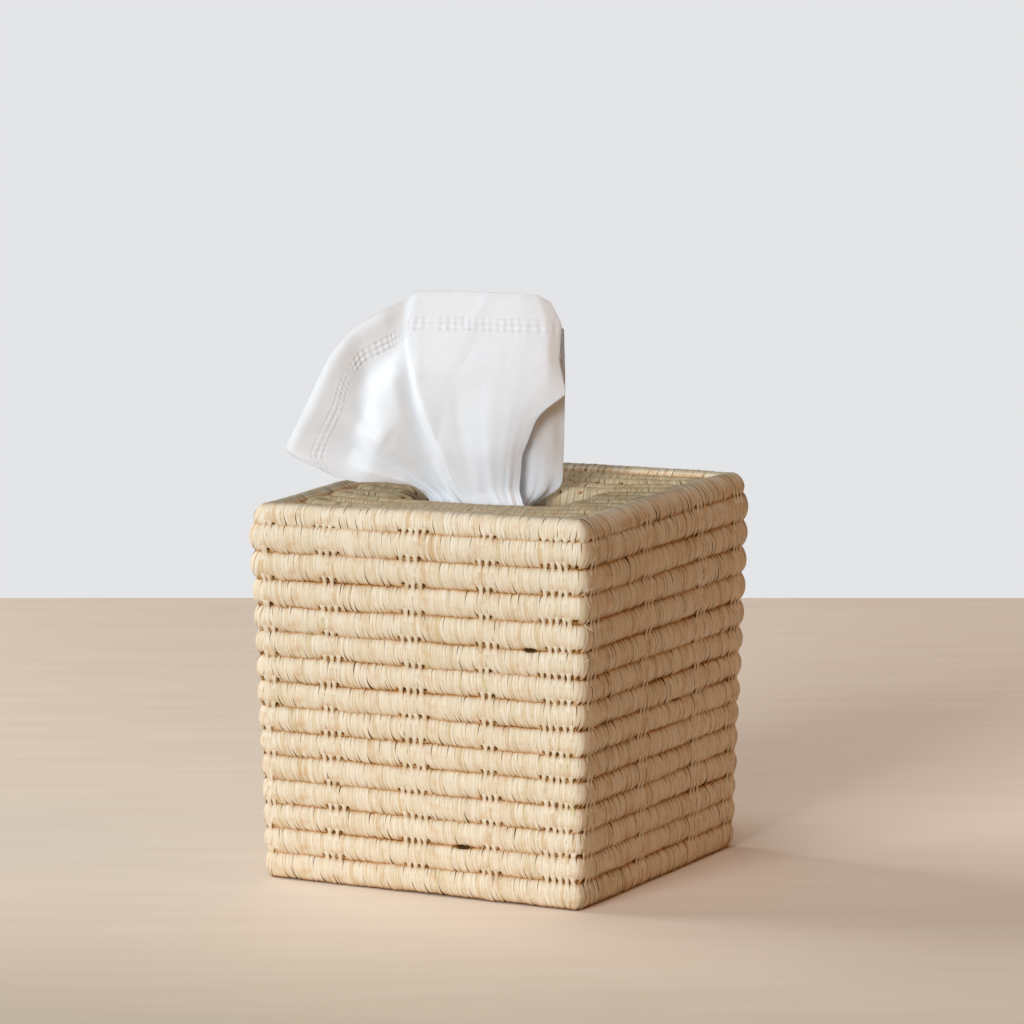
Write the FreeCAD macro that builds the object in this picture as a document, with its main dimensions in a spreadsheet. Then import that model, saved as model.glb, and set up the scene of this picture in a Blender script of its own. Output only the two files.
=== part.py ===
import FreeCAD, Part
import Sketcher
import math
import os

# A cube tissue box: a coiled straw cover that stands loosely over a paperboard refill carton, with one
# tissue drawn up through the slit film and the opening in the cover's top.
# Millimetres, +Z up. The origin is the middle of the base, where the cover and the carton stand.

vector = FreeCAD.Vector
upward = vector(0, 0, 1)

# Driving dimensions: name, value, and what it measures.
dimensions = [
    ("carton_width", 114.4, "side of the square refill carton"),
    ("carton_height", 127, "height of the refill carton"),
    ("board", 0.6, "paperboard of the carton"),
    ("carton_edge", 1.2, "rounding of the carton's upright folds"),
    ("hole_length", 84, "oval hole in the carton's top, along X"),
    ("hole_width", 44, "oval hole in the carton's top, along Y"),
    ("film_overlap", 7, "how far the slit film is glued on round the oval hole"),
    ("film_thickness", 0.2, "slit film"),
    ("slit_length", 62, "slit that the tissue is drawn through"),
    ("slit_gape", 13, "how far the drawn tissue holds the slit open"),
    ("pack_play", 1, "play of the tissue pack in the carton, each side"),
    ("pack_height", 106, "height of the tissue pack"),
    ("pack_fold", 7, "rounding of the pack along its folded edges"),
    ("seat_gap", 0.3, "rest gap of paper on paper"),
    ("fit_gap", 0.35, "play between the lowest course and the carton, each side"),
    ("headroom", 7.5, "space between the carton and the cover's top"),
    ("bundle_radius", 6.5, "half the thickness of one coil of straw"),
    ("course_count", 15, "courses in the cover's side, the rim among them"),
    ("side_lean", 3.6, "how far each side leans out from base to rim"),
    ("rim_inset", 1.1, "how far the rim is drawn in from the leaning line of the courses below it"),
    ("base_flat", 0.8, "how much the lowest course is flattened where it stands"),
    ("corner_radius", 6, "rounding of the cover's upright corners"),
    ("panel_drop", 2.5, "how far the top's rows lie below the rim"),
    ("row_count", 12, "straight rows in the top, between the rims"),
    ("opening_length", 68, "opening in the cover's top, along X"),
    ("opening_width", 40, "opening in the cover's top, along Y"),
    ("opening_corner", 12, "rounding of that opening's corners"),
    ("paper", 1.2, "thickness that stands for the tissue's plies and wrinkles"),
    ("sheet_side", 210, "side of one tissue laid flat; the raised tissue's folds are shares of it"),
    ("leaf_width", 100, "lower half of the drawn tissue, still folded on the pack"),
    ("gather_length", 50, "tissue where it is gathered in the opening, long way"),
    ("gather_width", 9, "tissue where it is gathered in the opening, short way"),
    ("tissue_turn", 28, "degrees that the raised tissue is turned from the slit"),
]

document = FreeCAD.newDocument("tissue_box")
sheet = document.addObject("Spreadsheet::Sheet", "sizes")
for number, (name, value, meaning) in enumerate(dimensions, start=1):
    sheet.set(f"A{number}", str(value))
    sheet.setAlias(f"A{number}", name)
    sheet.set(f"B{number}", meaning)
document.recompute()


def size(name):
    return float(sheet.get(name))


def bound(thing, **expressions):
    """Bind properties to the sheet: each formula names cells of the sheet by their aliases."""
    for key, formula in expressions.items():
        for name, _, _ in dimensions:
            formula = formula.replace(f"<{name}>", f"sizes.{name}")
        thing.setExpression(key.replace("__", "."), formula)
    return thing


# Where the courses and rows lie, worked out from the sheet.
bundle = size("bundle_radius")
courses = int(size("course_count"))
rows = int(size("row_count"))
coverHeight = size("carton_height") + size("headroom") + size("panel_drop") + 2 * bundle
lowestPath = size("carton_width") / 2 + size("fit_gap") + bundle
highestPath = lowestPath + size("side_lean")
rimPath = highestPath - size("rim_inset")
lowestCentre = bundle - size("base_flat")
highestCentre = coverHeight - bundle
rowCentre = highestCentre - size("panel_drop")
coverWidth = 2 * (highestPath + bundle)


def between(low, high, share):
    return low + (high - low) * share


def coursePlaces():
    """Centre of each course in a side's section: distance from the middle, and height."""
    shares = [number / (courses - 1) for number in range(courses)]
    leaning = [(between(lowestPath, highestPath, s), between(lowestCentre, highestCentre, s)) for s in shares]
    return leaning[:-1] + [(rimPath, highestCentre)]


def seamPoint(lower, upper, side):
    """Where two neighbouring bundles of one radius meet, on the given side of the line through them."""
    along = (upper[0] - lower[0], upper[1] - lower[1])
    apart = math.hypot(*along)
    reach = math.sqrt(bundle**2 - (apart / 2) ** 2) * side / apart
    return ((lower[0] + upper[0]) / 2 + reach * along[1], (lower[1] + upper[1]) / 2 - reach * along[0])


def bundleArc(centre, first, last, place):
    """Arc of a bundle round its centre, from first to last, the short way."""
    out = ((first[0] + last[0]) / 2 - centre[0], (first[1] + last[1]) / 2 - centre[1])
    reach = bundle / math.hypot(*out)
    crest = (centre[0] + reach * out[0], centre[1] + reach * out[1])
    return Part.Arc(place(*first), place(*crest), place(*last)).toShape()


def onSection(across, height):
    return vector(across, 0, height)


def ridgedSlab(name, side):
    """Slab with the ridges of every course on two opposite flanks, as deep as the cover is wide.

    Side 1 follows the outer face of the coils, side -1 the inner face. It stops at the rim's crest.
    """
    places = coursePlaces()
    foot = math.sqrt(bundle**2 - lowestCentre**2) * side + lowestPath
    corners = [(foot, 0)]
    corners += [seamPoint(places[k], places[k + 1], side) for k in range(courses - 1)]
    corners += [(rimPath, coverHeight)]
    flank = [bundleArc(places[k], corners[k], corners[k + 1], onSection) for k in range(courses)]
    mirrored = [edge.mirror(vector(0, 0, 0), vector(1, 0, 0)) for edge in flank]
    base = Part.makeLine(onSection(-foot, 0), onSection(foot, 0))
    crown = Part.makeLine(onSection(-rimPath, coverHeight), onSection(rimPath, coverHeight))
    outline = Part.Wire(Part.__sortEdges__(flank + mirrored + [base, crown]))
    face = Part.Face(outline)
    face.translate(vector(0, -coverWidth / 2, 0))
    slab = document.addObject("Part::Feature", name)
    slab.Shape = face.extrude(vector(0, coverWidth, 0))
    return slab


def crossed(name, side):
    """Two ridged slabs at right angles: what they share has the ridges on all four flanks."""
    along = ridgedSlab(f"{name}_slab_y", side)
    across = ridgedSlab(f"{name}_slab_x", side)
    across.Placement = FreeCAD.Placement(vector(0, 0, 0), FreeCAD.Rotation(upward, 90))
    shared = document.addObject("Part::MultiCommon", name)
    shared.Shapes = [along, across]
    return shared


def roundedCorners():
    """Leaning block with rounded uprights, which takes the sharp edge off the crossed ridges."""
    topHalf = "(<carton_width> / 2 + <fit_gap> + 2 * <bundle_radius> + <side_lean>)"
    height = "(<carton_height> + <headroom> + <panel_drop> + 2 * <bundle_radius>)"
    baseHalf = f"({topHalf} - <side_lean>)"
    block = document.addObject("Part::Wedge", "corner_block")
    bound(block, Xmin=f"-{baseHalf}", Xmax=baseHalf, Zmin=f"-{baseHalf}", Zmax=baseHalf)
    bound(block, X2min=f"-{topHalf}", X2max=topHalf, Z2min=f"-{topHalf}", Z2max=topHalf)
    bound(block, Ymin="0", Ymax=height)
    block.Placement = FreeCAD.Placement(vector(0, 0, 0), FreeCAD.Rotation(vector(1, 0, 0), 90))
    document.recompute()
    uprights = [
        number
        for number, edge in enumerate(block.Shape.Edges, start=1)
        if abs(edge.Vertexes[0].Z - edge.Vertexes[1].Z) > coverHeight / 2
    ]
    rounded = document.addObject("Part::Fillet", "corner_rounding")
    rounded.Base = block
    rounded.Edges = [(number, size("corner_radius"), size("corner_radius")) for number in uprights]
    return rounded


def topRows():
    """The straight rows of the cover's top, side by side from the front rim to the back rim."""
    pitch = 2 * rimPath / (rows + 1)
    places = [((number + 1) * pitch - rimPath, rowCentre) for number in range(rows)]
    reach = math.sqrt(bundle**2 - (pitch / 2) ** 2)

    def inRow(along, height):
        return vector(-rimPath, along, height)

    edges = []
    for side in (1, -1):
        for along, height in places:
            first = (along - pitch / 2, height + side * reach)
            last = (along + pitch / 2, height + side * reach)
            edges.append(bundleArc((along, height), first, last, inRow))
    for end in (places[0][0] - pitch / 2, places[-1][0] + pitch / 2):
        edges.append(Part.makeLine(inRow(end, rowCentre - reach), inRow(end, rowCentre + reach)))
    face = Part.Face(Part.Wire(Part.__sortEdges__(edges)))
    panel = document.addObject("Part::Feature", "top_rows")
    panel.Shape = face.extrude(vector(2 * rimPath, 0, 0))
    return panel


def openingCutter():
    """Upright block with rounded corners, where the rows of the top turn back round the opening."""
    block = document.addObject("Part::Box", "opening_block")
    bound(block, Length="<opening_length>", Width="<opening_width>", Height="6 * <bundle_radius>")
    bound(block, Placement__Base__x="-<opening_length> / 2", Placement__Base__y="-<opening_width> / 2")
    bound(block, Placement__Base__z="<carton_height> + <headroom> - <bundle_radius>")
    document.recompute()
    rounded = document.addObject("Part::Fillet", "opening_cutter")
    rounded.Base = block
    rounded.Edges = [
        (number, size("opening_corner"), size("opening_corner"))
        for number, edge in enumerate(block.Shape.Edges, start=1)
        if abs(edge.Vertexes[0].Z - edge.Vertexes[1].Z) > bundle
    ]
    return rounded


def wovenCover():
    """One continuous coil: leaning sides of stacked courses, a rim, and a top of straight rows."""
    outside = crossed("outer_ridges", 1)
    softened = document.addObject("Part::Common", "outer_form")
    softened.Base = outside
    softened.Tool = roundedCorners()
    hollowed = document.addObject("Part::Cut", "cover_sides")
    hollowed.Base = softened
    hollowed.Tool = crossed("inner_ridges", -1)
    closed = document.addObject("Part::Fuse", "closed_cover")
    closed.Base = hollowed
    closed.Tool = topRows()
    cover = document.addObject("Part::Cut", "woven_cover")
    cover.Base = closed
    cover.Tool = openingCutter()
    return cover


def originPlane(body, role):
    return next(plane for plane in body.Origin.OriginFeatures if plane.Role == role)


def flatSketch(body, name, height):
    """Sketch on the body's ground plane, lifted to a height given as a formula."""
    sketch = body.newObject("Sketcher::SketchObject", name)
    sketch.AttachmentSupport = [(originPlane(body, "XY_Plane"), "")]
    sketch.MapMode = "FlatFace"
    bound(sketch, AttachmentOffset__Base__z=height)
    return sketch


def centredRectangle(sketch, name, length, width, halfLength, halfWidth):
    """Rectangle about the origin, its two sides bound to formulas."""
    corners = [(-1, -1), (1, -1), (1, 1), (-1, 1)]
    points = [vector(x * halfLength, y * halfWidth, 0) for x, y in corners]
    lines = [Part.LineSegment(points[k], points[(k + 1) % 4]) for k in range(4)]
    first = sketch.addGeometry(lines, False)[0]
    for k in range(4):
        sketch.addConstraint(Sketcher.Constraint("Coincident", first + k, 2, first + (k + 1) % 4, 1))
    for k, kind in enumerate(("Horizontal", "Vertical", "Horizontal", "Vertical")):
        sketch.addConstraint(Sketcher.Constraint(kind, first + k))
    sketch.addConstraint(Sketcher.Constraint("Symmetric", first, 1, first + 1, 2, -1, 1))
    for k, way, half, formula in ((0, "DistanceX", halfLength, length), (1, "DistanceY", halfWidth, width)):
        place = sketch.addConstraint(Sketcher.Constraint(way, first + k, 1, first + k, 2, 2 * half))
        label = f"{name}_{way[-1].lower()}_side"
        sketch.renameConstraint(place, label)
        bound(sketch, **{f"Constraints__{label}": formula})


def refillCarton():
    """Folded and glued board box: upright walls, a doubled bottom, and a top with an oval hole."""
    outer = document.addObject("Part::Box", "carton_block")
    bound(outer, Length="<carton_width>", Width="<carton_width>", Height="<carton_height>")
    bound(outer, Placement__Base__x="-<carton_width> / 2", Placement__Base__y="-<carton_width> / 2")
    document.recompute()
    creased = document.addObject("Part::Fillet", "carton_folds")
    creased.Base = outer
    creased.Edges = [
        (number, size("carton_edge"), size("carton_edge"))
        for number, edge in enumerate(outer.Shape.Edges, start=1)
        if abs(edge.Vertexes[0].Z - edge.Vertexes[1].Z) > size("carton_edge")
    ]
    inner = document.addObject("Part::Box", "carton_inside")
    bound(inner, Length="<carton_width> - 2 * <board>", Width="<carton_width> - 2 * <board>")
    bound(inner, Height="<carton_height> - 3 * <board>", Placement__Base__z="2 * <board>")
    bound(inner, Placement__Base__x="<board> - <carton_width> / 2")
    bound(inner, Placement__Base__y="<board> - <carton_width> / 2")
    middle = document.addObject("Part::Box", "hole_middle")
    bound(middle, Length="<hole_length> - <hole_width>", Width="<hole_width>", Height="3 * <board>")
    bound(middle, Placement__Base__x="(<hole_width> - <hole_length>) / 2")
    bound(middle, Placement__Base__y="-<hole_width> / 2", Placement__Base__z="<carton_height> - 2 * <board>")
    ends = []
    for name, side in (("hole_left_end", "-"), ("hole_right_end", "")):
        end = document.addObject("Part::Cylinder", name)
        bound(end, Radius="<hole_width> / 2", Height="3 * <board>")
        bound(end, Placement__Base__x=f"{side}(<hole_length> - <hole_width>) / 2")
        bound(end, Placement__Base__z="<carton_height> - 2 * <board>")
        ends.append(end)
    cuts = document.addObject("Part::MultiFuse", "carton_cuts")
    cuts.Shapes = [inner, middle] + ends
    carton = document.addObject("Part::Cut", "refill_carton")
    carton.Base = creased
    carton.Tool = cuts
    return carton


def slitFilm():
    """Thin film glued under the carton's top, its slit held open by the tissue."""
    body = document.addObject("PartDesign::Body", "slit_film")
    underTop = "<carton_height> - <board> - <film_thickness>"
    outline = flatSketch(body, "film_outline", underTop)
    halfLength = size("hole_length") / 2 + size("film_overlap")
    halfWidth = size("hole_width") / 2 + size("film_overlap")
    length = "<hole_length> + 2 * <film_overlap>"
    width = "<hole_width> + 2 * <film_overlap>"
    centredRectangle(outline, "film", length, width, halfLength, halfWidth)
    film = body.newObject("PartDesign::Pad", "film_sheet")
    film.Profile = outline
    bound(film, Length="<film_thickness>")
    document.recompute()
    slit = flatSketch(body, "slit_outline", underTop)
    halfSlit = (size("slit_length") / 2, size("slit_gape") / 2)
    centredRectangle(slit, "slit", "<slit_length>", "<slit_gape>", *halfSlit)
    opened = body.newObject("PartDesign::Pocket", "slit")
    opened.Profile = slit
    opened.Type = "ThroughAll"
    opened.Reversed = True
    body.Tip = opened
    document.recompute()
    full = film.Shape.Volume
    expected = size("slit_length") * size("slit_gape") * size("film_thickness")
    if abs(full - body.Shape.Volume - expected) > 0.01 * expected:
        raise ValueError("the slit doesn't go through the film")
    return body


def foldedTissues():
    """The interleaved tissues left in the carton, one pressed pack with rounded folded edges."""
    body = document.addObject("PartDesign::Body", "folded_tissues")
    outline = flatSketch(body, "pack_outline", "2 * <board>")
    half = size("carton_width") / 2 - size("board") - size("pack_play")
    side = "<carton_width> - 2 * (<board> + <pack_play>)"
    centredRectangle(outline, "pack", side, side, half, half)
    block = body.newObject("PartDesign::Pad", "pack_block")
    block.Profile = outline
    bound(block, Length="<pack_height>")
    document.recompute()
    lengthwise = [
        f"Edge{number}"
        for number, edge in enumerate(block.Shape.Edges, start=1)
        if abs(edge.Vertexes[0].X - edge.Vertexes[1].X) > half
    ]
    folds = body.newObject("PartDesign::Fillet", "pack_folds")
    folds.Base = (block, lengthwise)
    bound(folds, Radius="<pack_fold>")
    body.Tip = folds
    return body


def turned(across, toward, height):
    """Point given as a viewer of the raised tissue's broad side sees it: right, toward the viewer, up."""
    angle = math.radians(size("tissue_turn"))
    x = across * math.cos(angle) + toward * math.sin(angle)
    y = across * math.sin(angle) - toward * math.cos(angle)
    return vector(x, y, height)


def facet(*points):
    return Part.Face(Part.makePolygon([*points, points[0]]))


def quad(a, b, c, d):
    return [facet(a, b, c), facet(a, c, d)]


def paperSolid(grid):
    """Thin solid of flat facets on both sides of a grid of points, which runs from root to free edge."""
    deep, wide = len(grid), len(grid[0])

    def lean(row, column):
        above = grid[min(row + 1, deep - 1)][column] - grid[max(row - 1, 0)][column]
        beside = grid[row][min(column + 1, wide - 1)] - grid[row][max(column - 1, 0)]
        normal = beside.cross(above)
        return normal.normalize() * (size("paper") / 2)

    front = [[grid[r][c] + lean(r, c) for c in range(wide)] for r in range(deep)]
    back = [[grid[r][c] - lean(r, c) for c in range(wide)] for r in range(deep)]
    faces = []
    for r in range(deep - 1):
        for c in range(wide - 1):
            faces += quad(front[r][c], front[r][c + 1], front[r + 1][c + 1], front[r + 1][c])
            faces += quad(back[r][c], back[r + 1][c], back[r + 1][c + 1], back[r][c + 1])
        for c in (0, wide - 1):
            faces += quad(front[r][c], front[r + 1][c], back[r + 1][c], back[r][c])
    for c in range(wide - 1):
        for r in (0, deep - 1):
            faces += quad(front[r][c], front[r][c + 1], back[r][c + 1], back[r][c])
    return Part.Solid(Part.Shell(faces).removeSplitter())


def oval(length, width, height, turn):
    """Closed outline of eight points: a long flattened ring."""
    shape = [(1, 0), (0.8, 0.75), (0, 1), (-0.8, 0.75), (-1, 0), (-0.8, -0.75), (0, -1), (0.8, -0.75)]
    angle = math.radians(turn)
    points = [(x * length / 2, y * width / 2) for x, y in shape]
    return [
        vector(x * math.cos(angle) - y * math.sin(angle), x * math.sin(angle) + y * math.cos(angle), height)
        for x, y in points
    ]


def gatheredRoot(leafTop, openingLevel):
    """Tissue squeezed together where it comes through the slit and the opening."""
    slitLevel = size("carton_height")
    inSlit = (size("slit_length") - 8 * size("seat_gap"), size("slit_gape") - 8 * size("seat_gap"))
    rings = [
        oval(inSlit[0] * 0.7, inSlit[1] * 0.6, leafTop, 0),
        oval(inSlit[0] * 0.8, inSlit[1] * 0.8, slitLevel, 0),
        oval(size("gather_length"), size("gather_width"), openingLevel, size("tissue_turn")),
    ]
    faces = [Part.Face(Part.makePolygon(ring + ring[:1])) for ring in (rings[0], rings[-1])]
    for lower, upper in zip(rings, rings[1:]):
        for k in range(len(lower)):
            after = (k + 1) % len(lower)
            faces += quad(lower[k], lower[after], upper[after], upper[k])
    return Part.Solid(Part.Shell(faces))


def raisedTissue():
    """The drawn tissue: a leaf still folded on the pack, a gathered root, a front sheet with its folds
    and a left wing that hangs over the rim, and a layer that curls behind at the right."""
    top = coverHeight
    leafBase = 2 * size("board") + size("pack_height") + size("seat_gap")
    leafTop = leafBase + size("paper")
    half = size("leaf_width") / 2
    leaf = Part.makeBox(2 * half, 2 * half, size("paper"), vector(-half, -half, leafBase))
    root = gatheredRoot(leafTop - size("paper") / 2, top)

    # Fold lines of the front sheet from its right free edge to the wing's lower edge. Each point is
    # (across, toward the viewer, above the cover's top) in hundredths of the sheet's side, from the
    # root up to the free edge.
    frontFolds = [
        [(3.1, 0.9, -1.9), (4.1, 2.5, 7.7), (7.6, 2.9, 15), (11.6, 1.2, 20.2), (11, 0.4, 28), (9, 0.5, 35.4)],
        [(1.8, 1.3, -1.9), (2.6, 3.2, 7.6), (5.4, 3.4, 14.8), (8.6, 2.8, 21.7), (8.6, 2.1, 29.3), (6.7, 1.7, 36.7)],
        [(0, 1.9, -1.9), (0.5, 4.1, 7.5), (1.4, 4.5, 15.1), (3.3, 3.8, 22.3), (3.8, 3.1, 29.8), (3.3, 2.4, 37.2)],
        [(-2.3, 2.1, -1.9), (-2.9, 4.6, 7.5), (-2.9, 5, 15.2), (-1.9, 4.5, 22.6), (-2.4, 3.5, 30), (-2.4, 2.9, 37.5)],
        [(-5.5, 2.1, -1.9), (-7.1, 4, 7.2), (-8.5, 4.5, 14.9), (-9, 5.2, 22.7), (-9.5, 4.2, 30.2), (-9.5, 3.3, 37.8)],
        [(-8.5, 2.1, -1.9), (-11.6, 4.6, 6.8), (-14.7, 5.6, 14.4), (-16.8, 5.7, 22.2), (-17.7, 4.9, 30.1), (-16.2, 4, 37.9)],
        [(-9, -0.4, -1.9), (-12.1, 1.2, 6.1), (-15.1, 2.8, 13.3), (-17, 4.1, 20.9), (-18.3, 4.5, 28.6), (-18.1, 4, 36.2)],
        [(-10.2, 0.2, -1.9), (-14, 2.7, 5.8), (-17.6, 5, 12.5), (-20, 6.3, 19.7), (-20.6, 5, 26.9), (-22.9, 6.4, 34.1)],
        [(-10.6, 0.4, -1.9), (-15.8, 3.1, 4.9), (-20.8, 5.8, 10.4), (-24.2, 6.4, 17.1), (-25.7, 5.1, 24.2), (-28.1, 7.1, 31.3)],
        [(-11.1, 0.6, -1.9), (-16.4, 3.4, 4.5), (-21.8, 6.1, 9.1), (-26.9, 6.3, 14.2), (-29.4, 4.4, 20.3), (-32.4, 7.1, 26.2)],
        [(-11.5, 0.9, -1.9), (-16.3, 3.5, 4.4), (-20.9, 6.1, 8.5), (-25.8, 6.9, 12.5), (-30.8, 5.6, 16.1), (-36, 7.6, 18.6)],
        [(-12.5, 0, -1.9), (-17.6, 1.9, 2.9), (-22.7, 3.9, 5.9), (-28.1, 5, 8.8), (-33.4, 5.2, 11.7), (-38.6, 8.1, 13.3)],
        [(-12.9, 0.4, -1.9), (-18.3, 3.2, 1.8), (-23.5, 5.6, 3.9), (-29.1, 7.1, 5.8), (-34.7, 7.4, 7.9), (-40.7, 8.1, 8.7)],
        [(-14, -0.4, -1.9), (-18.3, 2.6, 1.2), (-23.4, 4.6, 2), (-28.7, 5.8, 2.5), (-33.7, 6.9, 4.6), (-38.6, 7.6, 7)],
    ]
    # Fold lines of the layer behind, from left to its free edge at the right.
    curlFolds = [
        [(-9.2, -1.7, -1.9), (-11.5, -2.8, 9.6), (-12.4, -1.9, 20.9), (-14.3, 1, 32)],
        [(-2.8, -3, -1.9), (-3.8, -5.7, 9.8), (-3.8, -4.9, 21.7), (-3.8, -1.4, 33.6)],
        [(2.8, -3.9, -1.9), (3.9, -6.1, 10), (4.6, -5.1, 22.1), (3.8, -1, 34.1)],
        [(6.5, -3.4, -1.9), (7.4, -4.7, 9.9), (7.8, -4.1, 21.3), (7.6, -1, 32.7)],
        [(8.5, -2.4, -1.9), (8.9, -2.8, 10), (9.3, -2.6, 20.8), (9.5, -0.7, 31.7)],
        [(11, -0.4, -1.9), (11.7, -0, 10.2), (11.9, -0.4, 20.1), (11.6, -0.2, 30.1)],
    ]
    unit = size("sheet_side") / 100
    sheets = []
    for folds in (frontFolds, curlFolds):
        steps = range(len(folds[0]))
        points = [[[unit * share for share in line[k]] for line in folds] for k in steps]
        grid = [[turned(across, toward, top + above) for across, toward, above in row] for row in points]
        sheets.append(paperSolid(grid))
    tissue = document.addObject("Part::Feature", "raised_tissue")
    tissue.Shape = leaf.multiFuse([root] + sheets).removeSplitter()
    return tissue


pieces = [wovenCover(), refillCarton(), slitFilm(), foldedTissues(), raisedTissue()]
document.recompute()

for thing in document.Objects:
    if "Invalid" in thing.State or "Error" in thing.State:
        raise ValueError(f"{thing.Label} could not be built")

os.makedirs("parts", exist_ok=True)
for piece in pieces:
    shape = piece.Shape
    if shape.isNull() or not shape.isValid() or len(shape.Solids) != 1:
        raise ValueError(f"{piece.Label} is not one sound solid")
    shape.exportStep(f"parts/{piece.Label}.step")
    low, high = round(shape.BoundBox.ZMin, 2), round(shape.BoundBox.ZMax, 2)
    print(piece.Label, round(shape.Volume), "mm3,", len(shape.Faces), "faces, z", low, "to", high)
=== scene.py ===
import math
from types import SimpleNamespace

import bpy
import numpy as np
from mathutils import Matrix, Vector


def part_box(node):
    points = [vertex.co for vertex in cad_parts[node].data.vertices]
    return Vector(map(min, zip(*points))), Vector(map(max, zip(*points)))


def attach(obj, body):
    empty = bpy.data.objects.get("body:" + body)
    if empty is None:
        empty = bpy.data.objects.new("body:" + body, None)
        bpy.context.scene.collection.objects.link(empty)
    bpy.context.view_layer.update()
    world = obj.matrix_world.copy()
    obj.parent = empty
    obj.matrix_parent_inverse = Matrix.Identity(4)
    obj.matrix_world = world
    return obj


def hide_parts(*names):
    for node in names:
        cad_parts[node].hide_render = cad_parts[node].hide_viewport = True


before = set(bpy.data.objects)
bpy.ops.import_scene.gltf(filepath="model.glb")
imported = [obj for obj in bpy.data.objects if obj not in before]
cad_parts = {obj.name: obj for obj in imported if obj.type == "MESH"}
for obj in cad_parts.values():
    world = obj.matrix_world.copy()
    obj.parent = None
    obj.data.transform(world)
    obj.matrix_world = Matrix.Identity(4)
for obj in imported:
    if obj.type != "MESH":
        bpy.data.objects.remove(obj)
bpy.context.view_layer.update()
mm = 0.001  # everything below is worked out in millimetres and written in metres
draws = np.random.default_rng
print("frame loaded")


# meshes and materials

# points in mm; each attribute has three numbers for each point
def makePiece(name, points, quads, material, smooth=True, **attributes):
    mesh = bpy.data.meshes.new(name)
    points = np.asarray(points, dtype=np.float64) * mm
    quads = np.asarray(quads, dtype=np.int32)
    mesh.vertices.add(len(points))
    mesh.vertices.foreach_set("co", points.ravel())
    mesh.loops.add(quads.size)
    mesh.loops.foreach_set("vertex_index", quads.ravel())
    mesh.polygons.add(len(quads))
    mesh.polygons.foreach_set("loop_start", np.arange(len(quads), dtype=np.int32) * quads.shape[1])
    mesh.polygons.foreach_set("use_smooth", np.full(len(quads), smooth))
    mesh.materials.append(material)
    for label, values in attributes.items():
        layer = mesh.attributes.new(label, "FLOAT_VECTOR", "POINT")
        layer.data.foreach_set("vector", np.asarray(values, dtype=np.float64).ravel())
    mesh.update()
    mesh.validate()
    piece = bpy.data.objects.new(name, mesh)
    bpy.context.scene.collection.objects.link(piece)
    return piece


def ownPiece(piece, node):
    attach(piece, "root")
    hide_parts(node)


# three values for each point, each spread over all points
def perPoint(*values):
    return np.stack(np.broadcast_arrays(*values), axis=-1)


# short way to add and join shader nodes of a material or a world
class Nodes:
    def __init__(self, owner, shader="Principled BSDF"):
        owner.use_nodes = True
        self.owner = owner
        self.tree = owner.node_tree
        self.shader = self.tree.nodes[shader]

    def add(self, kind, inputs=None, **settings):
        node = self.tree.nodes.new(kind)
        for key, value in settings.items():
            setattr(node, key, value)
        for key, value in (inputs or {}).items():
            self.put(value, node.inputs[key])
        return node

    def put(self, value, socket):
        if isinstance(value, bpy.types.NodeSocket):
            self.tree.links.new(value, socket)
        else:
            socket.default_value = value

    def surface(self, inputs):
        for key, value in inputs.items():
            self.put(value, self.shader.inputs[key])

    def own(self, name):
        return self.add("ShaderNodeAttribute", attribute_name=name).outputs["Vector"]

    def split(self, vector):
        return self.add("ShaderNodeSeparateXYZ", {0: vector}).outputs

    def maths(self, operation, first, second=0.0, clamp=False):
        node = self.add("ShaderNodeMath", operation=operation, use_clamp=clamp)
        self.put(first, node.inputs[0])
        self.put(second, node.inputs[1])
        return node.outputs[0]

    def over(self, value, start, factor):
        return self.maths("MULTIPLY", self.maths("SUBTRACT", value, start, True), factor, True)

    def ramp(self, value, stops):
        node = self.add("ShaderNodeValToRGB", {"Fac": value})
        elements = node.color_ramp.elements
        while len(elements) < len(stops):
            elements.new(0.5)
        for element, (place, colour) in zip(elements, stops):
            element.position = place
            element.color = (*linear(*colour), 1)
        return node.outputs["Color"]

    def tinted(self, share, base, colour):
        return self.blend(share, base, linear(*colour), "MULTIPLY")

    def blend(self, share, first, second, way="MIX"):
        node = self.add("ShaderNodeMix", data_type="RGBA", blend_type=way)
        self.put(share, node.inputs[0])
        for value, socket in ((first, node.inputs[6]), (second, node.inputs[7])):
            self.put(value if isinstance(value, bpy.types.NodeSocket) else (*value, 1), socket)
        return node.outputs[2]

    def noise(self, vector, scale, detail=3.0, roughness=0.55):
        inputs = {"Vector": vector, "Scale": scale, "Detail": detail, "Roughness": roughness}
        return self.add("ShaderNodeTexNoise", inputs).outputs["Fac"]

    def stretched(self, vector, factors):
        node = self.add("ShaderNodeVectorMath", {0: vector, 1: factors}, operation="MULTIPLY")
        return node.outputs["Vector"]

    def fading(self, value, start, end, most):
        inputs = {"Value": value, "From Min": start, "From Max": end, "To Min": most, "To Max": 0.0}
        return self.add("ShaderNodeMapRange", inputs).outputs[0]

    def bump(self, height, strength, depth):
        inputs = {"Height": height, "Strength": strength, "Distance": depth * mm}
        self.put(self.add("ShaderNodeBump", inputs).outputs["Normal"], self.shader.inputs["Normal"])


# a colour as a colour picker shows it, 0 to 255
def linear(red, green, blue):
    shares = [value / 255 for value in (red, green, blue)]
    return tuple(s / 12.92 if s <= 0.04045 else ((s + 0.055) / 1.055) ** 2.4 for s in shares)


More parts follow.
